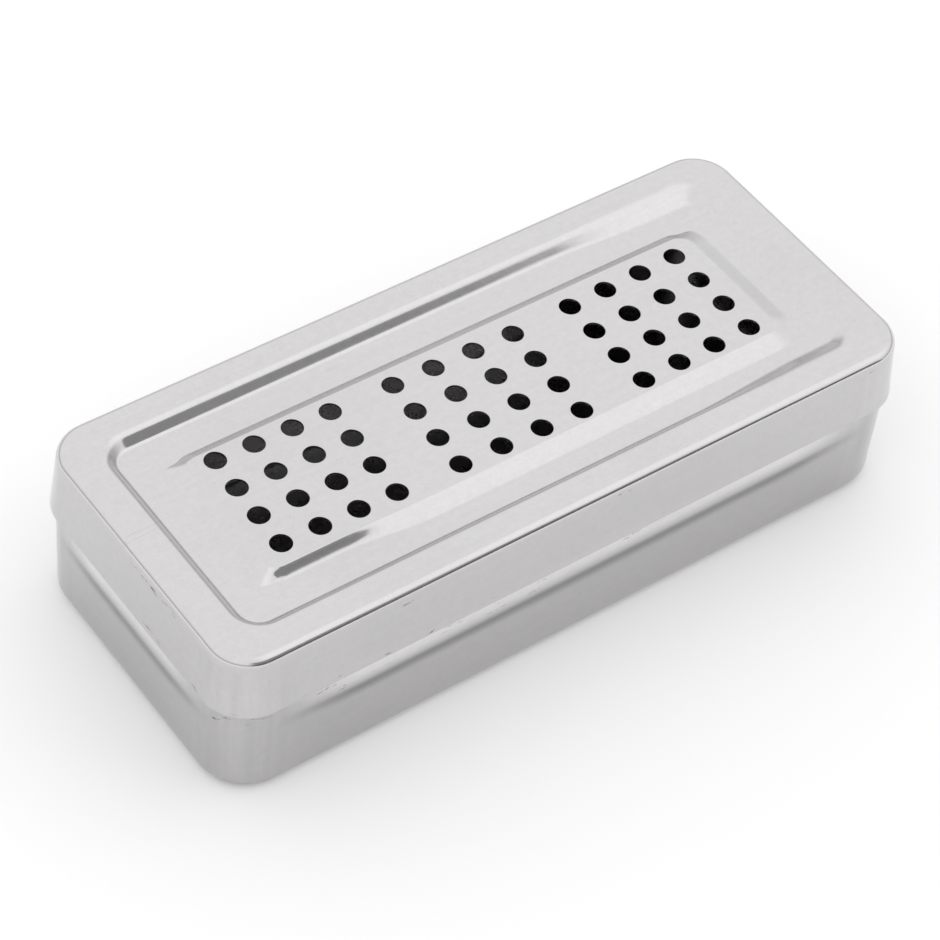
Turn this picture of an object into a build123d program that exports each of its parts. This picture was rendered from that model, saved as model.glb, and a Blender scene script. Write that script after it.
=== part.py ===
# Instrument sterilising box: a deep-drawn stainless base tray and a perforated lift-off lid.
# Millimetres. +Z up, +X along the length. The origin is the centre of the base's underside.
from build123d import *
from math import atan2, tan
import os

os.makedirs("parts", exist_ok=True)

# Whole box, lid on
box_length = 180.0
box_width = 77.3
box_height = 41.5
sheet = 0.7

# Lid skirt: it flares out towards its lower lip
skirt_height = 16.1
skirt_flare = 1.6
lip_corner_radius = 11.0
lid_edge_radius = 2.8

# Lid top: a flat shoulder, a step down to a channel, and a step up to the perforated panel
shoulder_length = 160.2
shoulder_width = 58.7
shoulder_corner_radius = 7.0
channel_depth = 2.8
channel_step_run = 2.3
panel_length = 134.0
panel_width = 34.6
panel_corner_radius = 3.6
panel_rise = 1.3
panel_step_run = 4.5
outer_bend_radius = 1.5
inner_bend_radius = 1.0

# Perforations: each group is punched by itself, so its place, turn and column pitch are its own
hole_radius = 2.45
group_columns = 4
group_rows = 4
row_pitch = 8.7
hole_groups = [
    # centre along X, centre along Y, turn in degrees, column pitch
    (-46.2, 0.7, -1.9, 9.4),
    (-0.7, -0.75, -1.6, 10.4),
    (46.1, -0.7, 1.1, 9.9),
]

# Base tray: its walls are pressed in above the joggle, where the lid covers them
tray_inset = 0.75
tray_draft = 0.1
tray_corner_radius = 11.6
floor_edge_radius = 3.0
joggle_depth = 2.15
joggle_low = 24.4
joggle_high = 26.6
neck_corner_radius = 8.0
rim_height = 40.0

lip_height = box_height - skirt_height
half_length = box_length / 2
half_width = box_width / 2


def edges_at(edges, height):
    """Those of the edges that lie flat at one height."""
    return edges.filter_by_position(Axis.Z, height - 0.001, height + 0.001)


def lid_form(inset, name):
    """The lid's outside as a solid, or with an inset of one sheet, the hollow inside it."""
    top = box_height - inset
    channel = top - channel_depth
    panel = channel + panel_rise
    channel_shift = inset * tan(atan2(channel_depth, channel_step_run) / 2)
    panel_shift = inset * tan(atan2(panel_rise, panel_step_run) / 2)
    lip_x = half_length - inset
    lip_y = half_width - inset
    flare = skirt_flare * (top - lip_height) / skirt_height
    shoulder_x = shoulder_length / 2 + channel_shift
    shoulder_y = shoulder_width / 2 + channel_shift
    panel_x = panel_length / 2 - panel_shift
    panel_y = panel_width / 2 - panel_shift
    skirt_sections = [
        (lip_height, lip_x, lip_y, lip_corner_radius - inset),
        (top, lip_x - flare, lip_y - flare, lip_corner_radius - inset - flare),
    ]
    channel_sections = [
        (channel, shoulder_x - channel_step_run, shoulder_y - channel_step_run,
         shoulder_corner_radius - channel_step_run),
        (top, shoulder_x, shoulder_y, shoulder_corner_radius),
    ]
    panel_sections = [
        (channel, panel_x + panel_step_run, panel_y + panel_step_run,
         panel_corner_radius + panel_step_run),
        (panel, panel_x, panel_y, panel_corner_radius),
    ]
    with BuildPart() as form:
        for height, half_x, half_y, radius in skirt_sections:
            with BuildSketch(Plane.XY.offset(height)):
                RectangleRounded(2 * half_x, 2 * half_y, radius)
        loft(ruled=True)
        fillet(edges_at(form.edges(), top), lid_edge_radius - inset)
        for height, half_x, half_y, radius in channel_sections:
            with BuildSketch(Plane.XY.offset(height)):
                RectangleRounded(2 * half_x, 2 * half_y, radius)
        loft(ruled=True, mode=Mode.SUBTRACT)
        fillet(edges_at(form.edges(Select.LAST), top), outer_bend_radius - inset)
        fillet(edges_at(form.edges(), channel), inner_bend_radius + inset)
        for height, half_x, half_y, radius in panel_sections:
            with BuildSketch(Plane.XY.offset(height)):
                RectangleRounded(2 * half_x, 2 * half_y, radius)
        loft(ruled=True)
        fillet(edges_at(form.edges(Select.LAST), channel), inner_bend_radius + inset)
        fillet(edges_at(form.edges(), panel), outer_bend_radius - inset)
    form.part.label = name
    return form.part


def tray_form(inset, top, name):
    """The tray's outside as a solid, or with an inset of one sheet, the hollow inside it."""
    wall_x = half_length - tray_inset - inset
    wall_y = half_width - tray_inset - inset
    wall_radius = tray_corner_radius - inset
    neck_x = wall_x - joggle_depth
    neck_y = wall_y - joggle_depth
    neck_radius = neck_corner_radius - inset
    wall_sections = [
        (inset, wall_x - tray_draft, wall_y - tray_draft, wall_radius),
        (joggle_low, wall_x, wall_y, wall_radius),
        (joggle_high, neck_x, neck_y, neck_radius),
        (top, neck_x, neck_y, neck_radius),
    ]
    with BuildPart() as form:
        for height, half_x, half_y, radius in wall_sections:
            with BuildSketch(Plane.XY.offset(height)):
                RectangleRounded(2 * half_x, 2 * half_y, radius)
        loft(ruled=True)
        fillet(edges_at(form.edges(), inset), floor_edge_radius - inset)
    form.part.label = name
    return form.part


lid_outside = lid_form(0.0, "lid outside")
lid_hollow = lid_form(sheet, "lid hollow")
panel_height = box_height - channel_depth + panel_rise

with BuildPart() as lid:
    add(lid_outside)
    add(lid_hollow, mode=Mode.SUBTRACT)
    with BuildSketch(Plane.XY.offset(panel_height)):
        for centre_x, centre_y, turn, column_pitch in hole_groups:
            with Locations(Location((centre_x, centre_y, 0), (0, 0, turn))):
                with GridLocations(column_pitch, row_pitch, group_columns, group_rows):
                    Circle(hole_radius)
    extrude(amount=-2 * sheet, mode=Mode.SUBTRACT)
lid.part.label = "lid"
export_step(lid.part, "parts/lid.step")

tray_outside = tray_form(0.0, rim_height, "tray outside")
tray_hollow = tray_form(sheet, rim_height, "tray hollow")

with BuildPart() as base_tray:
    add(tray_outside)
    add(tray_hollow, mode=Mode.SUBTRACT)
base_tray.part.label = "base_tray"
export_step(base_tray.part, "parts/base_tray.step")
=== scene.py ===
import bpy
import bmesh
import math
import numpy as np
from mathutils import Matrix, Vector


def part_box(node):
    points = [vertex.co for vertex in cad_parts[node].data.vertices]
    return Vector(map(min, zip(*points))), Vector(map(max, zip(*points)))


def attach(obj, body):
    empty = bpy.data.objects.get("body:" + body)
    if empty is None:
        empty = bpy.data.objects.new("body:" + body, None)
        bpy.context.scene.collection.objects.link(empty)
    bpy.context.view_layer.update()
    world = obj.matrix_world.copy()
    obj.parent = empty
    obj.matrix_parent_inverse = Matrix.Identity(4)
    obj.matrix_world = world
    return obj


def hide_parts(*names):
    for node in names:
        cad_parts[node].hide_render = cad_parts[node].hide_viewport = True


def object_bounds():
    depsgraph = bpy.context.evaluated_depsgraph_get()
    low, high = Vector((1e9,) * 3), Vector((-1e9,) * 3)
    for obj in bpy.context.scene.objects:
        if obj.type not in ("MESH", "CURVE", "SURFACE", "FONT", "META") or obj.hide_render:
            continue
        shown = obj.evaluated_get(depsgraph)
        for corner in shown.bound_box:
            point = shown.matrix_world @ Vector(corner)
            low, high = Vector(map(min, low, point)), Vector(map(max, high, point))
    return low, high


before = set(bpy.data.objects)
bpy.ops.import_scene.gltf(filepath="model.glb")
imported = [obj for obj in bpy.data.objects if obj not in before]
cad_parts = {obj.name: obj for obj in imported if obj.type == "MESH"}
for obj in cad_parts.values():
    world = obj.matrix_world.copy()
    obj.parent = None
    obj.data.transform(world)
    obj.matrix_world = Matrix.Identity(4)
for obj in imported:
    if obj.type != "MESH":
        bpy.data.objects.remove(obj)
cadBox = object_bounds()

millimetre = 0.001
scene = bpy.context.scene
scene.view_settings.view_transform = "Standard"
lidLow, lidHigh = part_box("lid")
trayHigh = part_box("base_tray")[1]
print("frame loaded", [round(v, 4) for v in (*cadBox[0], *cadBox[1])])


# Node sockets as Python values, for shader and geometry trees alike

class Wire:
    def __init__(self, tree, socket):
        self.tree = tree
        self.socket = socket

    def math(self, operation, *others):
        return self.tree.add("Math", {"operation": operation}, (self, *others))

    def __add__(self, other):
        return self.math("ADD", other)

    def __radd__(self, other):
        return self.math("ADD", other)

    def __sub__(self, other):
        return self.math("SUBTRACT", other)

    def __rsub__(self, other):
        return self.tree.add("Math", {"operation": "SUBTRACT"}, (other, self))

    def __mul__(self, other):
        return self.math("MULTIPLY", other)

    def __rmul__(self, other):
        return self.math("MULTIPLY", other)

    def __truediv__(self, other):
        return self.math("DIVIDE", other)

    def __gt__(self, other):
        return self.math("GREATER_THAN", other)

    def __lt__(self, other):
        return self.math("LESS_THAN", other)

    def clamped(self):
        return self.tree.add("Math", {"operation": "ADD", "use_clamp": True}, (self, 0.0))

    def ramp(self, low, high, toLow=0.0, toHigh=1.0):
        settings = {"interpolation_type": "SMOOTHSTEP"}
        return self.tree.add("MapRange", settings, {0: self, 1: low, 2: high, 3: toLow, 4: toHigh})


class Tree:
    def __init__(self, nodeTree):
        self.nodes = nodeTree.nodes
        self.links = nodeTree.links
        self.prefix = "GeometryNode" if nodeTree.bl_idname == "GeometryNodeTree" else "ShaderNode"

    # one call for any node: its type, settings, the values or wires of its sockets, and the output wanted
    def add(self, kind, settings=None, inputs=(), output=0):
        node = None
        for prefix in (self.prefix, "ShaderNode", "FunctionNode", ""):
            if hasattr(bpy.types, prefix + kind):
                node = self.nodes.new(prefix + kind)
                break
        for name, value in (settings or {}).items():
            setattr(node, name, value)
        pairs = inputs.items() if isinstance(inputs, dict) else enumerate(inputs)
        for key, value in pairs:
            socket = node.inputs[key]
            if isinstance(value, Wire):
                self.links.new(value.socket, socket)
            elif isinstance(value, list):
                for wire in value:
                    self.links.new(wire.socket, socket)
            elif value is not None:
                socket.default_value = int(value) if socket.type == "INT" else value
        return Wire(self, node.outputs[output]) if node.outputs else node

    def out(self, wire, output):
        return Wire(self, wire.socket.node.outputs[output])


def parts(tree, vector):
    split = tree.add("SeparateXYZ", inputs=[vector])
    return [tree.out(split, axis) for axis in ("X", "Y", "Z")]


# Camera and light

cameraSet = {
    "azimuth": -40.8, "elevation": 47.65, "roll": 6.96,
    "distance": 0.7056, "aim": (0.00396, 0.01725), "lens": 126.8, "sensor": 36.0,
}


def makeCamera():
    azimuth = math.radians(cameraSet["azimuth"])
    elevation = math.radians(cameraSet["elevation"])
    roll = math.radians(cameraSet["roll"])
    back = Vector((math.sin(azimuth) * math.cos(elevation), -math.cos(azimuth) * math.cos(elevation),
                   math.sin(elevation)))
    right = (-back).cross(Vector((0, 0, 1))).normalized()
    up = right.cross(-back)
    turnedRight = math.cos(roll) * right + math.sin(roll) * up
    turnedUp = math.cos(roll) * up - math.sin(roll) * right
    across, above = cameraSet["aim"]
    lidTop = Vector((0, 0, cadBox[1].z))
    place = lidTop + back * cameraSet["distance"] - turnedRight * across - turnedUp * above
    data = bpy.data.cameras.new("camera")
    data.lens = cameraSet["lens"]
    data.sensor_width = cameraSet["sensor"]
    data.clip_start = 0.01
    data.clip_end = 20
    camera = bpy.data.objects.new("camera", data)
    axes = Matrix((turnedRight, turnedUp, back)).transposed()
    camera.matrix_world = Matrix.Translation(place) @ axes.to_4x4()
    scene.collection.objects.link(camera)
    scene.camera = camera


makeCamera()

lightSet = {
    # brightness overhead and at the horizon, and the share of height between which it changes
    "skyTop": 1.2, "skyHorizon": 0.66, "skyBlend": (0.05, 0.45),
    # the dark side of the room, in degrees: turn from the front towards +X, and height above the horizon
    "darkTurn": (-34.0, -14.0), "darkHeight": 26.0, "darkSlant": 2.2, "darkAt": 32.5, "darkMost": 42.0,
    "darkSoft": 6.0, "darkLow": 0.12, "darkHigh": 0.36, "darkRise": (6.0, 20.0),
    # the large soft box: direction, cosines of its outer and inner edge, extra brightness
    "softBox": (0.46, -0.26, 0.85), "softEdge": (0.84, 0.975), "softGain": 0.18,
    "floorColor": (0.8, 0.8, 0.8, 1), "floorRough": 0.9, "floorSize": 6.0, "floorDrop": 0.0002,
    # the floor glows with painted light (emission), more strongly away from the box
    "floorReach": (0.11, 0.32), "floorGlow": (0.12, 0.32),
}


def makeSky():
    world = bpy.data.worlds.new("softSky")
    world.use_nodes = True
    scene.world = world
    tree = Tree(world.node_tree)
    tree.nodes.clear()
    aside, ahead, height = parts(tree, tree.add("TexCoord", output=0))
    sky = height.ramp(*lightSet["skyBlend"], lightSet["skyHorizon"], lightSet["skyTop"])
    turn = aside.math("ARCTAN2", ahead * -1.0) * math.degrees(1)
    rise = height.math("ARCSINE") * math.degrees(1)
    limit = lightSet["darkHeight"] + (lightSet["darkAt"] - turn) * lightSet["darkSlant"]
    under = limit.math("MINIMUM", lightSet["darkMost"]) - rise
    dark = under.ramp(0.0, lightSet["darkSoft"]) * turn.ramp(*lightSet["darkTurn"])
    left = rise.ramp(*lightSet["darkRise"], lightSet["darkLow"], lightSet["darkHigh"])
    boxX, boxY, boxZ = lightSet["softBox"]
    near = aside * boxX + ahead * boxY + height * boxZ
    sky = sky + near.ramp(*lightSet["softEdge"]) * lightSet["softGain"]
    level = sky * (1 - dark) + dark * left
    shade = tree.add("Background", inputs={"Color": (1, 1, 1, 1), "Strength": level})
    tree.add("OutputWorld", inputs={"Surface": shade})


def makeFloor():
    material = bpy.data.materials.new("paleFloor")
    material.use_nodes = True
    tree = Tree(material.node_tree)
    x, y, z = parts(tree, tree.add("TexCoord", output="Object"))
    # painted light: the floor's emission is weak near the box and stronger farther out, lifting its shadow
    # there
    away = (x * x + y * y).math("SQRT").ramp(*lightSet["floorReach"], *lightSet["floorGlow"])
    glow = tree.add("Mix", {"data_type": "RGBA"}, {0: away, 6: (0, 0, 0, 1), 7: (1, 1, 1, 1)}, 2)
    surface = material.node_tree.nodes["Principled BSDF"]
    surface.inputs["Base Color"].default_value = lightSet["floorColor"]
    surface.inputs["Roughness"].default_value = lightSet["floorRough"]
    surface.inputs["Emission Strength"].default_value = 1.0
    tree.links.new(glow.socket, surface.inputs["Emission Color"])
    half = lightSet["floorSize"] / 2
    height = cadBox[0].z - lightSet["floorDrop"]
    mesh = bpy.data.meshes.new("floor")
    corners = [(-half, -half, height), (half, -half, height), (half, half, height), (-half, half, height)]
    mesh.from_pydata(corners, [], [(0, 1, 2, 3)])
    mesh.materials.append(material)
    floor = bpy.data.objects.new("floor", mesh)
    scene.collection.objects.link(floor)


makeSky()
makeFloor()
print("camera, sky and floor in place")


# Pressed sheet: a section line is carried round a rounded rectangle, and every point of the line has its own
# half length, half width, corner radius and height. All sizes in millimetres until the mesh is made.

def bend(corner, before, after, radius, steps):
    # points round one bend of the section; before and after are (inset, height) directions of travel
    turn = before[0] * after[1] - before[1] * after[0]
    angle = math.atan2(turn, before[0] * after[0] + before[1] * after[1])
    reach = radius * math.tan(abs(angle) / 2)
    start = (-before[0] * reach, -before[1] * reach)
    points = []
    for index in range(steps + 1):
        turned = angle * index / steps
        side = math.copysign(1, angle)
        along = radius * math.sin(abs(turned))
        away = radius * (1 - math.cos(turned))
        inset = start[0] + before[0] * along - before[1] * side * away
        rise = start[1] + before[1] * along + before[0] * side * away
        halfX, halfY, round_, height = corner
        points.append((halfX - inset, halfY - inset, max(round_ - inset, 0.0), height + rise))
    return points


def unit(inset, rise):
    length = math.hypot(inset, rise)
    return (inset / length, rise / length)


def section(corners):
    # corners: (half length, half width, corner radius, height, bend radius, bend steps, steps to the next)
    line = []
    count = len(corners)
    for index, (halfX, halfY, round_, height, radius, steps, between) in enumerate(corners):
        here = (halfX, halfY, round_, height)
        if radius <= 0 or index in (0, count - 1):
            points = [here]
        else:
            last, following = corners[index - 1], corners[index + 1]
            before = unit(last[1] - halfY, height - last[3])
            after = unit(halfY - following[1], following[3] - height)
            points = bend(here, before, after, radius, steps)
        if line:
            gap = corners[index - 1][6]
            start, end = np.array(line[-1]), np.array(points[0])
            line += [tuple(start + (end - start) * step / gap) for step in range(1, gap)]
        line += points
    return line


def outline(breaksX, breaksY, cornerSteps):
    # the unit outline: per point, where its corner centre lies (-1..1) and which way it faces
    rows = [((x, -1), (0, -1)) for x in breaksX]
    quarter = math.pi / 2

    def corner(centre, start):
        angles = [start + quarter * k / cornerSteps for k in range(1, cornerSteps)]
        return [(centre, (math.cos(angle), math.sin(angle))) for angle in angles]

    rows += corner((1, -1), -quarter)
    rows += [((1, y), (1, 0)) for y in breaksY]
    rows += corner((1, 1), 0)
    rows += [((x, 1), (0, 1)) for x in reversed(breaksX)]
    rows += corner((-1, 1), quarter)
    rows += [((-1, y), (-1, 0)) for y in reversed(breaksY)]
    rows += corner((-1, -1), 2 * quarter)
    return rows


def guideMesh(name, layers):
    # a loose line of points that only carries attributes for the sheet tree
    count = len(next(iter(layers.values())))
    mesh = bpy.data.meshes.new(name)
    mesh.from_pydata([(0, 0, 0)] * count, [], [])
    for layer, values in layers.items():
        data = mesh.attributes.new(layer, "FLOAT_VECTOR", "POINT").data
        data.foreach_set("vector", np.array(values, np.float32).ravel())
    guide = bpy.data.objects.new(name, mesh)
    scene.collection.objects.link(guide)
    return guide


# Geometry trees

def newTree(name, sockets):
    group = bpy.data.node_groups.new(name, "GeometryNodeTree")
    group.interface.new_socket(name="Geometry", in_out="INPUT", socket_type="NodeSocketGeometry")
    for label, kind in sockets:
        group.interface.new_socket(name=label, in_out="INPUT", socket_type="NodeSocket" + kind)
    group.interface.new_socket(name="Geometry", in_out="OUTPUT", socket_type="NodeSocketGeometry")
    tree = Tree(group)
    given = tree.add("NodeGroupInput")
    return group, tree, lambda label: tree.out(given, label)


def finishTree(tree, geometry, material, weld):
    merged = tree.add("MergeByDistance", inputs={"Geometry": geometry, "Distance": weld})
    smooth = tree.add("SetShadeSmooth", inputs={"Geometry": merged, "Shade Smooth": True})
    real = tree.add("RealizeInstances", inputs={"Geometry": smooth})
    painted = tree.add("SetMaterial", inputs={"Geometry": real, "Material": material})
    tree.add("NodeGroupOutput", inputs={"Geometry": painted})


def readGuide(tree, guide, layer, index):
    named = tree.add("InputNamedAttribute", {"data_type": "FLOAT_VECTOR"}, {"Name": layer})
    settings = {"data_type": "FLOAT_VECTOR", "domain": "POINT"}
    return tree.add("SampleIndex", settings, {"Geometry": guide, "Value": named, "Index": index})


def gridOf(tree, countX, countY):
    sizes = {"Size X": 1.0, "Size Y": 1.0, "Vertices X": countX, "Vertices Y": countY}
    grid = tree.add("MeshGrid", inputs=sizes)
    index = tree.add("InputIndex")
    row = ((index + 0.5) / countY).math("FLOOR")
    return grid, row, index - row * countY


def placed(tree, grid, x, y, z):
    position = tree.add("CombineXYZ", inputs=[x, y, z])
    return tree.add("SetPosition", inputs={"Geometry": grid, "Position": position})


def marked(tree, geometry, inner):
    # the side of the sheet that faces into the box carries 1
    settings = {"data_type": "FLOAT", "domain": "POINT"}
    return tree.add("StoreNamedAttribute", settings, {"Geometry": geometry, "Name": "inner", "Value": inner})


def pressedSheetTree():
    group, tree, given = newTree("pressedSheet", [
        ("Section", "Object"), ("Outline", "Object"), ("Section Points", "Int"), ("Outline Points", "Int"),
        ("Side Points", "Int"), ("End Points", "Int"), ("End Start", "Int"), ("Inner Start", "Float"),
        ("Material", "Material")])
    sectionLine = tree.add("ObjectInfo", inputs={"Object": given("Section")}, output="Geometry")
    outlineLine = tree.add("ObjectInfo", inputs={"Object": given("Outline")}, output="Geometry")
    around = given("Outline Points")
    grid, ring, step = gridOf(tree, given("Section Points"), around + 1)
    step = step.math("MODULO", around) + 0.5
    halfX, halfY, corner = parts(tree, readGuide(tree, sectionLine, "size", ring + 0.5))
    height = parts(tree, readGuide(tree, sectionLine, "place", ring + 0.5))[0]
    centreX, centreY, _ = parts(tree, readGuide(tree, outlineLine, "centre", step))
    facingX, facingY, _ = parts(tree, readGuide(tree, outlineLine, "facing", step))
    wall = placed(tree, grid, centreX * (halfX - corner) + facingX * corner,
                  centreY * (halfY - corner) + facingY * corner, height)
    pieces = [marked(tree, wall, ring > given("Inner Start"))]
    for end, inner in ((0.5, 0.0), (given("Section Points") - 0.5, 1.0)):
        fill, column, row = gridOf(tree, given("Side Points"), given("End Points"))
        halfX, halfY, _ = parts(tree, readGuide(tree, sectionLine, "size", end))
        height = parts(tree, readGuide(tree, sectionLine, "place", end))[0]
        shareX = parts(tree, readGuide(tree, outlineLine, "centre", column + 0.5))[0]
        shareY = parts(tree, readGuide(tree, outlineLine, "centre", row + given("End Start") + 0.5))[1]
        pieces.append(marked(tree, placed(tree, fill, shareX * halfX, shareY * halfY, height), inner))
    joined = tree.add("JoinGeometry", inputs={"Geometry": pieces})
    finishTree(tree, joined, given("Material"), 0.002)
    return group


def punchTree():
    group, tree, given = newTree("steamHoles", [
        ("Rim", "Object"), ("Rim Points", "Int"), ("Tile Half", "Float"), ("Tile Sides", "Int"),
        ("Groups", "Int"), ("Columns", "Int"), ("Rows", "Int"), ("Group Spacing", "Float"),
        ("Column Pitch", "Float"), ("Row Pitch", "Float"), ("Inner Start", "Float"),
        ("Material", "Material")])
    half = given("Tile Half")

    # where a point lies from the nearest hole centre
    x, y, _ = parts(tree, tree.add("InputPosition"))
    spread = (given("Groups") - 1) * 0.5
    nearest = (x / given("Group Spacing")).math("ROUND")
    groupIndex = nearest.math("MAXIMUM", 0 - spread).math("MINIMUM", spread)
    x = x - groupIndex * given("Group Spacing")

    def offCentre(value, pitch, count):
        cell = (value / pitch + count * 0.5).math("FLOOR").math("MAXIMUM", 0.0).math("MINIMUM", count - 1)
        return (value - (cell + 0.5 - count * 0.5) * pitch).math("ABSOLUTE")
    inside = ((offCentre(x, given("Column Pitch"), given("Columns")) < half)
              * (offCentre(y, given("Row Pitch"), given("Rows")) < half))
    squares = {"Geometry": given("Geometry"), "Selection": inside}
    opened = tree.add("DeleteGeometry", {"domain": "FACE"}, squares)

    # one square of sheet with its punched hole
    rim = tree.add("ObjectInfo", inputs={"Object": given("Rim")}, output="Geometry")
    sides = given("Tile Sides")
    grid, ring, step = gridOf(tree, given("Rim Points"), sides + 1)
    angle = (step.math("MODULO", sides)) * (2 * math.pi) / sides
    cosine, sine = angle.math("COSINE"), angle.math("SINE")
    reach = cosine.math("ABSOLUTE").math("MAXIMUM", sine.math("ABSOLUTE"))
    radius, square, height = parts(tree, readGuide(tree, rim, "size", ring + 0.5))
    scale = radius * (1 - square) + half * square / reach
    tile = placed(tree, grid, cosine * scale, sine * scale, height)
    tile = marked(tree, tile, ring > given("Inner Start"))

    index = tree.add("InputIndex")
    total = given("Groups") * given("Columns") * given("Rows")
    line = tree.add("MeshLine", inputs={"Count": total})
    column = index.math("MODULO", given("Columns"))
    row = ((index + 0.5) / given("Columns")).math("FLOOR").math("MODULO", given("Rows"))
    block = ((index + 0.5) / (given("Columns") * given("Rows"))).math("FLOOR")
    px = (column - (given("Columns") - 1) * 0.5) * given("Column Pitch")
    px = px + (block - spread) * given("Group Spacing")
    py = (row - (given("Rows") - 1) * 0.5) * given("Row Pitch")
    points = placed(tree, line, px, py, 0.0)
    tiles = tree.add("InstanceOnPoints", inputs={"Points": points, "Instance": tile})
    real = tree.add("RealizeInstances", inputs={"Geometry": tiles})
    joined = tree.add("JoinGeometry", inputs={"Geometry": [opened, real]})
    finishTree(tree, joined, given("Material"), 0.002)
    return group


def addTree(host, group, values):
    modifier = host.modifiers.new(group.name, "NODES")
    modifier.node_group = group
    for item in group.interface.items_tree:
        if item.item_type == "SOCKET" and item.in_out == "INPUT" and item.name in values:
            modifier[item.identifier] = values[item.name]


def plainPiece(name, host, guides, shift=None):
    # evaluates the trees to one plain mesh in metres, every face outwards
    depsgraph = bpy.context.evaluated_depsgraph_get()
    mesh = bpy.data.meshes.new_from_object(host.evaluated_get(depsgraph))
    for extra in [host, *guides]:
        bpy.data.objects.remove(extra)
    points = np.empty(len(mesh.vertices) * 3, np.float32)
    mesh.vertices.foreach_get("co", points)
    points = points.reshape(-1, 3).astype(float)
    if shift:
        points = shift(points)
    mesh.vertices.foreach_set("co", (points * millimetre).astype(np.float32).ravel())
    work = bmesh.new()
    work.from_mesh(mesh)
    bmesh.ops.dissolve_degenerate(work, dist=1e-7, edges=work.edges)
    bmesh.ops.recalc_face_normals(work, faces=work.faces)
    open_ = sum(1 for edge in work.edges if len(edge.link_faces) != 2)
    work.to_mesh(mesh)
    work.free()
    mesh.name = name
    piece = bpy.data.objects.new(name, mesh)
    scene.collection.objects.link(piece)
    triangles = sum(len(face.vertices) - 2 for face in mesh.polygons)
    print(name, "triangles", triangles, "open edges", open_)
    return piece


def sheetHost(name, group, corners, innerCorner, sides, ends, cornerSteps, material):
    line = np.array(section(corners))
    innerStart = len(section(corners[:innerCorner + 1])) + 0.5
    rows = outline(sides, ends, cornerSteps)
    sectionGuide = guideMesh(name + "Section", {
        "size": line[:, :3], "place": np.column_stack([line[:, 3], line[:, 3] * 0, line[:, 3] * 0])})
    outlineGuide = guideMesh(name + "Outline", {
        "centre": [(*centre, 0) for centre, _ in rows], "facing": [(*facing, 0) for _, facing in rows]})
    host = bpy.data.objects.new(name + "Host", bpy.data.meshes.new(name + "Host"))
    scene.collection.objects.link(host)
    addTree(host, group, {
        "Section": sectionGuide, "Outline": outlineGuide, "Section Points": len(line),
        "Outline Points": len(rows), "Side Points": len(sides), "End Points": len(ends),
        "End Start": len(sides) + cornerSteps - 1, "Inner Start": innerStart, "Material": material})
    return host, [sectionGuide, outlineGuide]


# Stainless steel

steelSet = {
    "lidSteel": {"bright": 0.575, "rough": 0.135, "seed": 3.1, "scuffs": (0.0265, 0.0385)},
    "traySteel": {"bright": 0.51, "rough": 0.15, "seed": 8.7, "scuffs": (0.0215, 0.0235),
                  # the painted reflection band and painted shade line under the lid: height of the lid's lip
                  # and depth of the band at mid-side
                  "paintedBand": (0.0254, 0.0070)},
}

even = (1, 1, 1)
grainSet = {
    # per layer of noise: scale, stretch along each axis, detail, roughness, seed
    "mottle": (520.0, even, 3.0, 0.6, 0.0),
    "fine": (1500.0, even, 1.0, 0.5, 4.0),
    "rolled": (900.0, (0.03, 1, 1), 2.0, 0.5, 1.0),
    "swell": (38.0, even, 1.0, 0.5, 2.0),
    "smudge": (24.0, even, 4.0, 0.6, 3.0),
    "drawn": (420.0, (1, 1, 0.04), 2.0, 0.5, 5.0),
    "strand": (75.0, (0.05, 1, 0.4), 1.0, 0.5, 6.0),
    "patch": (34.0, even, 2.0, 0.5, 7.0),
    "grit": (620.0, (0.3, 0.3, 1.6), 3.0, 0.7, 10.0),
    "wear": (30.0, even, 2.0, 0.5, 11.0),
}

placeSet = {
    # where a wall starts, counted out from the middle: along the length, along the width
    "endWall": (0.0845, 0.0855), "sideWall": (0.0345, 0.0355), "outsideWidth": (0.0335, 0.0345),
    # how the bow of the long and the short walls runs out, and where the corners begin
    "sideBow": (0.055, 0.081), "endBow": (0.012, 0.031),
    "cornerLength": (0.068, 0.080), "cornerWidth": (0.018, 0.029), "wallTop": (0.0375, 0.0395),
}


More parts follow.
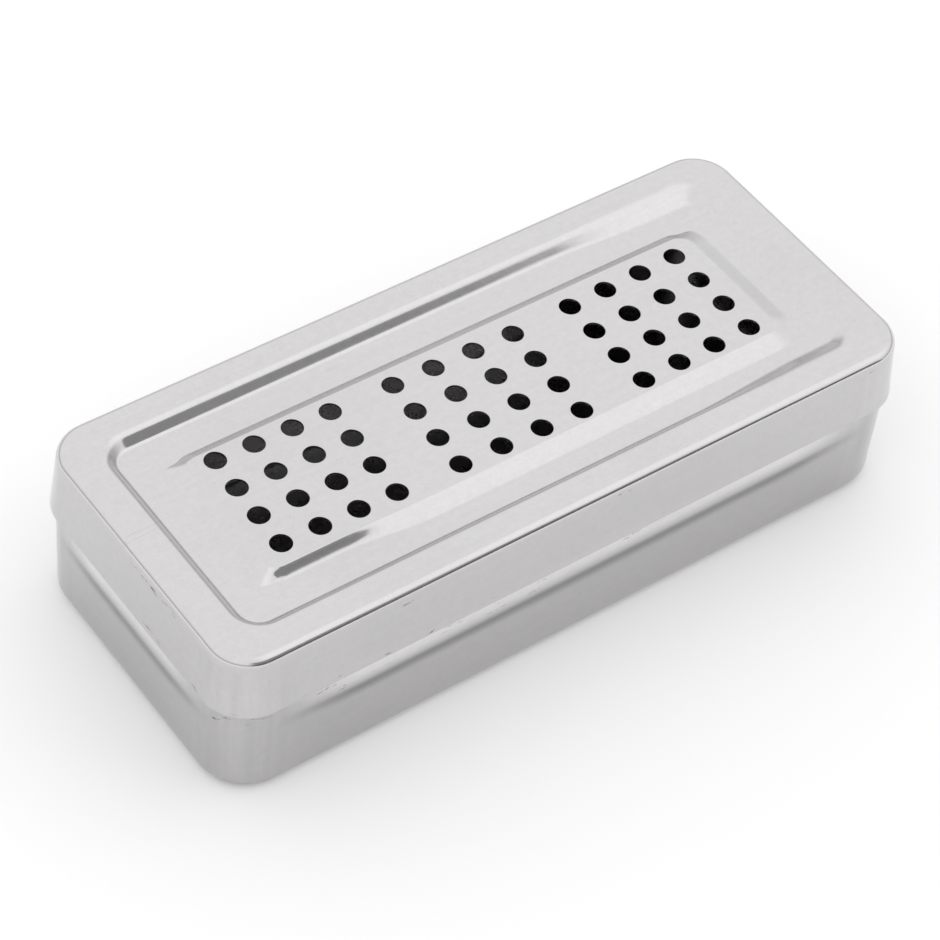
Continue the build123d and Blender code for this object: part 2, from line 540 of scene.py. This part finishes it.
def steelMaterial(name):
    values = steelSet[name]
    material = bpy.data.materials.new(name)
    material.use_nodes = True
    tree = Tree(material.node_tree)
    place = tree.add("TexCoord", output="Object")
    x, y, z = parts(tree, place)
    inner = tree.add("Attribute", {"attribute_name": "inner"}, output="Fac")
    fromMiddleX, fromMiddleY = x.math("ABSOLUTE"), y.math("ABSOLUTE")

    def noise(layer):
        scale, stretch, detail, rough, seed = grainSet[layer]
        stretched = tree.add("VectorMath", {"operation": "MULTIPLY"}, (place, stretch))
        inputs = {"Vector": stretched, "W": values["seed"] + seed, "Scale": scale, "Detail": detail,
                  "Roughness": rough}
        return tree.add("TexNoise", {"noise_dimensions": "4D"}, inputs)

    # mill finish: a fine mottle and faint lines along the rolling direction
    mottle = noise("mottle") - 0.5
    fine = noise("fine") - 0.5
    rolled = noise("rolled") - 0.5
    swell = noise("swell") - 0.5
    smudge = noise("smudge").ramp(0.46, 0.7)

    # draw lines down the corners of the walls
    drawn = noise("drawn") - 0.5
    corner = fromMiddleX.ramp(*placeSet["cornerLength"]) * fromMiddleY.ramp(*placeSet["cornerWidth"])
    wall = corner * (1 - z.ramp(*placeSet["wallTop"]))

    # a few straight hairlines
    strand = (noise("strand") - 0.5).math("ABSOLUTE").ramp(0.0, 0.0016, 1.0, 0.0)
    scratch = strand * noise("patch").ramp(0.6, 0.66)

    # scuffs and pits, thickest along the edges of the walls, which rub
    low, high = values["scuffs"]
    endWall = fromMiddleX.ramp(*placeSet["endWall"])
    outside = endWall.math("MAXIMUM", fromMiddleY.ramp(*placeSet["outsideWidth"]))
    rubbed = (z - low).math("ABSOLUTE").ramp(0.0002, 0.0010, 1.0, 0.0)
    rubbed = rubbed + (z - high).math("ABSOLUTE").ramp(0.0003, 0.0012, 1.0, 0.0)
    grit = noise("grit").ramp(0.6, 0.66)
    scuff = grit * rubbed * outside * noise("wear").ramp(0.5, 0.58)
    cell = tree.add("TexVoronoi", {}, {"Vector": place, "Scale": 120.0, "Randomness": 1.0}, "Distance")
    chosen = parts(tree, tree.out(cell, "Color"))[0].ramp(0.972, 0.976)
    pit = cell.ramp(0.02, 0.05, 1.0, 0.0) * chosen
    mark = (scuff + pit).clamped()

    bright = values["bright"] * (1 + mottle * 0.10 + fine * 0.07 + rolled * 0.05 + drawn * wall * 0.22)
    bright = bright * (1 - scratch * 0.06) * (1 - mark * 0.62) * (1 - smudge * 0.025) * (1 - inner * 0.06)
    if "paintedBand" in values:
        # painted light and shade: a painted reflection lighter below the lid's lip and a painted shade line
        # dark at the band's foot, only where the walls are bowed
        sides = fromMiddleY.ramp(*placeSet["sideWall"]) * fromMiddleX.ramp(*placeSet["sideBow"], 1.0, 0.0)
        ends = endWall * fromMiddleY.ramp(*placeSet["endBow"], 1.0, 0.0)
        bow = sides.math("MAXIMUM", ends)
        lip, depth = values["paintedBand"]
        down = (lip - z) / ((bow * 0.2 + 0.8) * depth)
        paintedSheenAndShade = down.ramp(0.3, 0.95, 0.5, 0.0) * down.ramp(-0.2, 0.0)
        paintedSheenAndShade = paintedSheenAndShade - down.ramp(0.68, 1.0, 0.0, 0.46) * down.ramp(1.0, 1.5, 1.0, 0.0)
        # the painted reflection and painted shade are multiplied into the tray's colour
        bright = bright * (1 + paintedSheenAndShade * bow * (1 - inner))
    tint = {0: bright, 6: (0, 0, 0, 1), 7: (1.0, 0.982, 0.984, 1)}
    colour = tree.add("Mix", {"data_type": "RGBA"}, tint, 2)
    rough = values["rough"] + mottle * 0.05 + smudge * 0.05 + scratch * 0.12 + mark * 0.3 + inner * 0.12
    height = (mottle * 7e-6 + fine * 1.5e-6 + rolled * 2e-6 + swell * 9e-5 + drawn * wall * 1.6e-5
              - scratch * 8e-6 - mark * 2.5e-5)
    bump = tree.add("Bump", {}, {"Strength": 1.0, "Distance": 1.0, "Height": height})

    surface = material.node_tree.nodes["Principled BSDF"]
    surface.inputs["Metallic"].default_value = 1.0
    for socket, wire in (("Base Color", colour), ("Roughness", rough), ("Normal", bump)):
        tree.links.new(wire.socket, surface.inputs[socket])
    return material


# Lid

lidShape = {
    "sheet": 0.7, "flare": 1.6, "lipCorner": 11.0, "edgeRadius": 2.1,
    "shoulder": (80.1, 29.35, 7.0), "channelDepth": 2.8, "stepRun": 2.3,
    "panel": (67.0, 17.3, 3.6), "panelRise": 1.3, "panelRun": 4.5,
    "outerBend": 1.5, "innerBend": 1.0, "channelBend": 2.4, "channelFoot": 1.3, "lipRadius": 0.3,
    "holeRadius": 2.45, "holeRim": 0.12, "tileHalf": 2.8, "tileSides": 32,
    "groups": 3, "columns": 4, "rows": 4, "groupSpacing": 46.2, "columnPitch": 9.9, "rowPitch": 8.7,
    # how far each punched group is off true: along X, along Y, turn in degrees, column pitch
    "offTrue": [(0.0, 0.7, -1.9, 9.4), (-0.7, -0.75, -1.6, 10.4), (-0.1, -0.7, 1.1, 9.9)],
    # the skirt is turned out very slightly along its lip: height and depth, and how far along it runs
    "rollHeight": 1.2, "rollDepth": 0.12, "rollReach": (75.0, 26.0),
    # the near side of the panel is struck steeper towards its left end
    "strike": 0.43, "strikeRun": (-50.0, -29.0), "strikeSpan": (-0.3, 4.8, 9.0), "backStrike": 0.8,
    # the channel's floor dips beside it: depth, and distances out from the panel where it comes and goes
    "strikeDip": 0.85, "dipSpan": (-0.3, 3.6, 5.6, 9.2),
    # the channel's outer step runs out gently towards the right end: distances from the shoulder,
    # before and after
    "easeRun": (36.0, 66.0), "easeFrom": (-6.4, -2.8, 0.9, 5.0), "easeTo": (-6.4, -4.9, 2.2, 5.0),
    # depths below the lid's top, and how far in from the outside a point still counts as wall
    "recess": (4.4, 3.4), "skirtFade": (11.0, 3.2), "topFade": (3.4, 2.0), "wallBand": 4.6,
    # the flat rim that the hole squares keep to the panel's edge
    "panelRim": (0.3, 0.2),
    "ripple": 0.05,
}


def lidCorners(shape, halfX, halfY, top, lip):
    sheet, flare, round_ = shape["sheet"], shape["flare"], shape["lipCorner"]
    outer, inner, lipBend = shape["outerBend"], shape["innerBend"], shape["lipRadius"]
    shoulderX, shoulderY, shoulderR = shape["shoulder"]
    panelX, panelY, panelR = shape["panel"]
    run, panelRun = shape["stepRun"], shape["panelRun"]
    channel = top - shape["channelDepth"]
    panel = channel + shape["panelRise"]
    groupsSpan = (shape["groups"] - 1) * shape["groupSpacing"]
    rimX = (groupsSpan + (shape["columns"] - 1) * shape["columnPitch"]) / 2
    rimY = (shape["rows"] - 1) * shape["rowPitch"] / 2
    tileX, tileY = rimX + shape["tileHalf"], rimY + shape["tileHalf"]
    lift = sheet * math.tan(math.atan2(shape["channelDepth"], run) / 2)
    panelLift = sheet * math.tan(math.atan2(shape["panelRise"], panelRun) / 2)
    crease = lip + 3.4
    share = flare * (crease - lip) / (top - lip)
    return [
        (tileX, tileY, 0, panel, 0, 0, 1),
        (panelX, panelY, panelR, panel, outer, 4, 4),
        (panelX + panelRun, panelY + panelRun, panelR + panelRun, channel, inner, 4, 5),
        (shoulderX - run, shoulderY - run, shoulderR - run, channel, shape["channelFoot"], 6, 5),
        (shoulderX, shoulderY, shoulderR, top, shape["channelBend"], 8, 5),
        (halfX - flare, halfY - flare, round_ - flare, top, shape["edgeRadius"], 12, 12),
        (halfX - share, halfY - share, round_ - share, crease, 0, 0, 16),
        (halfX, halfY, round_, lip, lipBend, 4, 1),
        (halfX - sheet, halfY - sheet, round_ - sheet, lip, lipBend, 4, 14),
        (halfX - sheet - flare, halfY - sheet - flare, round_ - sheet - flare, top - sheet,
         shape["edgeRadius"] - sheet, 8, 3),
        (shoulderX + lift, shoulderY + lift, shoulderR, top - sheet, outer - sheet, 4, 3),
        (shoulderX + lift - run, shoulderY + lift - run, shoulderR - run, channel - sheet,
         inner + sheet, 4, 3),
        (panelX + panelRun - panelLift, panelY + panelRun - panelLift, panelR + panelRun, channel - sheet,
         inner + sheet, 3, 3),
        (panelX - panelLift, panelY - panelLift, panelR, panel - sheet, outer - sheet, 3, 1),
        (tileX, tileY, 0, panel - sheet, 0, 0, 0),
    ]


def smooth(value, low, high):
    share = np.clip((value - low) / (high - low), 0, 1)
    return share * share * (3 - 2 * share)


def awayFrom(x, y, halfX, halfY, radius):
    # distance outside a rounded rectangle, and the outward direction as positive shares
    overX = np.clip(np.abs(x) - halfX + radius, 0, None)
    overY = np.clip(np.abs(y) - halfY + radius, 0, None)
    over = np.maximum(np.hypot(overX, overY), 1e-6)
    return over, overX / over, overY / over, over - radius


def lens(value, reach):
    return np.sqrt(np.clip(1 - (value / reach) ** 2, 0, 1))


def holeDrift(points, shape):
    # every hole's square keeps its form and moves with its group, and the sheet between takes up the rest
    half = shape["tileHalf"]
    xKnots = [-shape["panel"][0] + shape["panelRim"][0]]
    yKnots = [-shape["panel"][1] + shape["panelRim"][1]]
    driftX, driftY = [], []
    rows = [(row - (shape["rows"] - 1) / 2) * shape["rowPitch"] for row in range(shape["rows"])]
    for index, (offX, offY, turn, pitch) in enumerate(shape["offTrue"]):
        centre = (index - (shape["groups"] - 1) / 2) * shape["groupSpacing"]
        cosine, sine = math.cos(math.radians(turn)), math.sin(math.radians(turn))
        for column in range(shape["columns"]):
            step = column - (shape["columns"] - 1) / 2
            plain = centre + step * shape["columnPitch"]
            xKnots += [plain - half, plain + half]
            alongX = [centre + offX + step * pitch * cosine - y * sine - plain for y in rows]
            alongY = [offY + step * pitch * sine + y * cosine - y for y in rows]
            driftX += [alongX, alongX]
            driftY += [alongY, alongY]
    for y in rows:
        yKnots += [y - half, y + half]
    xKnots.append(-xKnots[0])
    yKnots.append(-yKnots[0])
    x, y, z = points.T
    column = np.clip(np.searchsorted(xKnots, x) - 1, 0, len(xKnots) - 2)
    row = np.clip(np.searchsorted(yKnots, y) - 1, 0, len(yKnots) - 2)
    shareX = np.clip((x - np.take(xKnots, column)) / np.diff(xKnots)[column], 0, 1)
    shareY = np.clip((y - np.take(yKnots, row)) / np.diff(yKnots)[row], 0, 1)
    moved = []
    for drift in (driftX, driftY):
        table = np.zeros((len(xKnots), len(yKnots)))
        table[1:-1, 1:-1] = np.repeat(drift, 2, axis=1)
        low = table[column, row] * (1 - shareY) + table[column, row + 1] * shareY
        high = table[column + 1, row] * (1 - shareY) + table[column + 1, row + 1] * shareY
        moved.append(low * (1 - shareX) + high * shareX)
    return moved


def lidWarp(points, shape, halfX, halfY, top, lip):
    x, y, z = points.T
    driftX, driftY = holeDrift(points, shape)
    moved = points.copy()
    moved[:, 0] += driftX
    moved[:, 1] += driftY

    # a steeper strike at the panel's near left corner, with the channel's floor dipped to meet it
    over, outX, outY, away = awayFrom(x, y, *shape["panel"])
    amount = smooth(outY, 0.55, 0.95) * (1 - smooth(x, *shape["strikeRun"])) * (y < 0)
    near, deep, rising, level = shape["dipSpan"]
    dip = amount * shape["strikeDip"] * smooth(away, near, deep) * (1 - smooth(away, rising, level))
    amount = amount + smooth(outY, 0.5, 0.9) * (y > 0) * shape["backStrike"]
    lipAt, foot, end = shape["strikeSpan"]
    struck = np.interp(away, [lipAt, foot, end], [lipAt, lipAt + (foot - lipAt) * shape["strike"], end])
    pull = amount * (struck - away) * (away > lipAt) * (away < end) * (over > 0.01)

    # the gentle run-out of the outer step at the right end
    over, sideX, sideY, away = awayFrom(x, y, *shape["shoulder"])
    recessed = smooth(z, *(top - depth for depth in shape["recess"]))
    inward, outward = shape["easeFrom"][0], shape["easeFrom"][-1]
    eased = np.interp(away, shape["easeFrom"], shape["easeTo"])
    push = smooth(x, *shape["easeRun"]) * (eased - away) * (away > inward) * (away < outward)
    push = push * recessed
    moved[:, 0] += (pull * outX + push * sideX) * np.sign(x)
    moved[:, 1] += (pull * outY + push * sideY) * np.sign(y)
    moved[:, 2] -= dip

    # the turned-out lip: above it the skirt stands in a little, most at mid-side
    up = z - lip
    reachX, reachY = shape["rollReach"]
    fade = 1 - smooth(z, *(top - depth for depth in shape["skirtFade"]))
    for axis, other, half, reach in ((1, 0, halfY, reachX), (0, 1, halfX, reachY)):
        bulge = lens(points[:, other], reach)
        inset = shape["rollDepth"] * bulge * np.clip(up / (shape["rollHeight"] * bulge + 0.05), 0, 1) * fade
        side = np.abs(points[:, axis]) > half - shape["wallBand"]
        moved[:, axis] -= np.sign(points[:, axis]) * inset * side

    # hand-pressed unevenness, inwards only
    skin = 1 - smooth(z, *(top - depth for depth in shape["topFade"]))
    wave = 1 + np.sin(x / 9.5 + 0.7) * np.sin(y / 6.5 + z / 7.0 + 0.3)
    moved[:, 2] -= shape["ripple"] * 0.5 * wave * (1 - skin) * recessed
    wall = skin * smooth(up, 0.5, 3.0) * (np.abs(y) > halfY - shape["wallBand"])
    wave = 1 + np.sin(x / 12.0 + 0.4) * np.sin(z / 5.0 + y / 9.0)
    moved[:, 1] -= np.sign(y) * shape["ripple"] * wave * wall
    return moved


def tileBreaks(count, pitch, half, groups, spacing):
    # grid lines along one side of the panel: they fan across each hole's square and run straight between
    fan = [math.tan(math.radians(11.25 * step)) * half for step in range(-4, 5)]
    centres = [(g - (groups - 1) / 2) * spacing + (c - (count - 1) / 2) * pitch
               for g in range(groups) for c in range(count)]
    lines = []
    for centre in centres:
        if lines:
            start, end = lines[-1], centre - half
            between = max(1, round((end - start) / 1.3))
            lines += [start + (end - start) * k / between for k in range(1, between)]
        lines += [centre + step for step in fan]
    return [line / lines[-1] for line in lines]


def holeSection(shape, top):
    # from the square's edge on the upper face, over the rim, down the wall and out under the sheet
    radius, rim, sheet = shape["holeRadius"], shape["holeRim"], shape["sheet"]
    line = [(radius + rim, 1.0, top), (radius + rim, 0.45, top), (radius + rim, 0.12, top)]
    for k in range(4):
        turn = math.pi / 2 * k / 3
        line.append((radius + rim - rim * math.sin(turn), 0, top - rim * (1 - math.cos(turn))))
    for k in range(4):
        turn = math.pi / 2 * k / 3
        line.append((radius + rim * (1 - math.cos(turn)), 0, top - sheet + rim - rim * math.sin(turn)))
    line += [(radius + rim, 0.5, top - sheet), (radius + rim, 1.0, top - sheet)]
    return line


def makeLid(sheetGroup, punchGroup):
    shape = lidShape
    halfX, halfY, top = (v / millimetre for v in lidHigh)
    lip = lidLow.z / millimetre
    corners = lidCorners(shape, halfX, halfY, top, lip)
    steel = steelMaterial("lidSteel")
    sides = tileBreaks(shape["columns"], shape["columnPitch"], shape["tileHalf"], shape["groups"],
                       shape["groupSpacing"])
    ends = tileBreaks(shape["rows"], shape["rowPitch"], shape["tileHalf"], 1, 0.0)
    host, guides = sheetHost("lid", sheetGroup, corners, 8, sides, ends, 14, steel)
    rimLine = holeSection(shape, corners[0][3])
    rimGuide = guideMesh("holeRim", {"size": rimLine})
    addTree(host, punchGroup, {
        "Rim": rimGuide, "Rim Points": len(rimLine), "Tile Half": shape["tileHalf"],
        "Tile Sides": shape["tileSides"], "Groups": shape["groups"], "Columns": shape["columns"],
        "Rows": shape["rows"], "Group Spacing": shape["groupSpacing"], "Column Pitch": shape["columnPitch"],
        "Row Pitch": shape["rowPitch"], "Inner Start": 5.5, "Material": steel})
    piece = plainPiece("perforatedLid", host, [*guides, rimGuide],
                       lambda points: lidWarp(points, shape, halfX, halfY, top, lip))
    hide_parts("lid")
    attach(piece, "lid")


# Base tray

trayShape = {
    "sheet": 0.7, "draft": 0.1, "corner": 11.6, "floorBend": 3.0,
    "joggle": 2.15, "joggleLow": 24.8, "joggleHigh": 26.7, "neckCorner": 8.0,
    "joggleBend": 1.0, "rimBend": 0.3, "floorHalf": (66.0, 18.0), "sideSteps": 90, "endSteps": 36,
    # the wall swells out a little just under the lid: how far, where it runs out towards the corners,
    # and its outward share down the band, from 0 at the lid's lip to 1 at the band's foot
    "swell": 0.36, "swellFade": ((55.0, 81.0), (12.0, 31.0)), "bandLip": 25.4, "bandDepth": 7.0,
    "cornerShare": 0.8, "swellDown": (-0.6, 0.0, 0.2, 0.45, 0.7, 0.85, 1.0, 1.15),
    "swellOut": (0, 0.3, 0.7, 1.0, 0.86, 0.55, 0.14, 0), "swellRise": (1.5, 9.0), "swellStop": (26.5, 30.0),
    # slight unevenness of the walls and the floor
    "ripple": 0.05, "rippleRise": (3.5, 7.0), "rippleStop": (17.0, 21.0),
    "floorInset": 6.0, "floorBlend": 8.0, "wallBand": 4.0,
}


def trayCorners(shape, halfX, halfY, top):
    sheet, draft, round_, neckR = shape["sheet"], shape["draft"], shape["corner"], shape["neckCorner"]
    joggle, low, high, rim = shape["joggle"], shape["joggleLow"], shape["joggleHigh"], shape["rimBend"]
    floorX, floorY = shape["floorHalf"]
    neckX, neckY = halfX - joggle, halfY - joggle
    return [
        (floorX, floorY, 0, 0, 0, 0, 8),
        (halfX - draft, halfY - draft, round_, 0, shape["floorBend"], 10, 48),
        (halfX, halfY, round_, low, shape["joggleBend"], 6, 8),
        (neckX, neckY, neckR, high, shape["joggleBend"], 5, 10),
        (neckX, neckY, neckR, top, rim, 4, 1),
        (neckX - sheet, neckY - sheet, neckR - sheet, top, rim, 4, 10),
        (neckX - sheet, neckY - sheet, neckR - sheet, high, shape["joggleBend"], 5, 6),
        (halfX - sheet, halfY - sheet, round_ - sheet, low, shape["joggleBend"], 5, 32),
        (halfX - draft - sheet, halfY - draft - sheet, round_ - sheet, sheet,
         shape["floorBend"] - sheet, 8, 8),
        (floorX, floorY, 0, sheet, 0, 0, 0),
    ]


def trayWarp(points, shape, halfX, halfY):
    x, y, z = points.T
    moved = points.copy()
    sideFade, endFade = shape["swellFade"]
    fade = smooth(z, *shape["swellRise"]) * (1 - smooth(z, *shape["swellStop"])) * shape["swell"]
    share = shape["cornerShare"]
    sides = (1, 1 - smooth(np.abs(x), *sideFade), halfY)
    ends = (0, 1 - smooth(np.abs(y), *endFade), halfX)
    for axis, bulge, half in (sides, ends):
        down = (shape["bandLip"] - z) / (shape["bandDepth"] * ((1 - share) * bulge + share))
        swell = np.interp(down, shape["swellDown"], shape["swellOut"]) - 1
        onWall = np.abs(points[:, axis]) > half - shape["wallBand"]
        moved[:, axis] += np.sign(points[:, axis]) * swell * fade * bulge * onWall
    wave = 1 + np.sin(x / 13.0 + 1.1) * np.sin(z / 6.0 + y / 8.0)
    wall = smooth(z, *shape["rippleRise"]) * (1 - smooth(z, *shape["rippleStop"]))
    wall = wall * (np.abs(y) > halfY - shape["wallBand"])
    moved[:, 1] -= np.sign(y) * shape["ripple"] * wave * wall
    inset, blend = shape["floorInset"], shape["floorBlend"]
    floor = smooth(halfX - inset - np.abs(x), 0, blend) * smooth(halfY - inset - np.abs(y), 0, blend)
    floor = floor * (z < shape["sheet"] + 0.2)
    moved[:, 2] += shape["ripple"] * (1 + np.sin(x / 14.0) * np.sin(y / 10.0 + 0.5)) * floor
    return moved


def makeTray(sheetGroup):
    shape = trayShape
    halfX, halfY, top = (v / millimetre for v in trayHigh)
    corners = trayCorners(shape, halfX, halfY, top)
    sides = [2 * k / shape["sideSteps"] - 1 for k in range(shape["sideSteps"] + 1)]
    ends = [2 * k / shape["endSteps"] - 1 for k in range(shape["endSteps"] + 1)]
    host, guides = sheetHost("tray", sheetGroup, corners, 5, sides, ends, 14, steelMaterial("traySteel"))
    piece = plainPiece("baseTray", host, guides, lambda points: trayWarp(points, shape, halfX, halfY))
    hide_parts("base_tray")
    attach(piece, "base")


sheetGroup = pressedSheetTree()
punchGroup = punchTree()
makeLid(sheetGroup, punchGroup)
makeTray(sheetGroup)
print("lid and tray made")
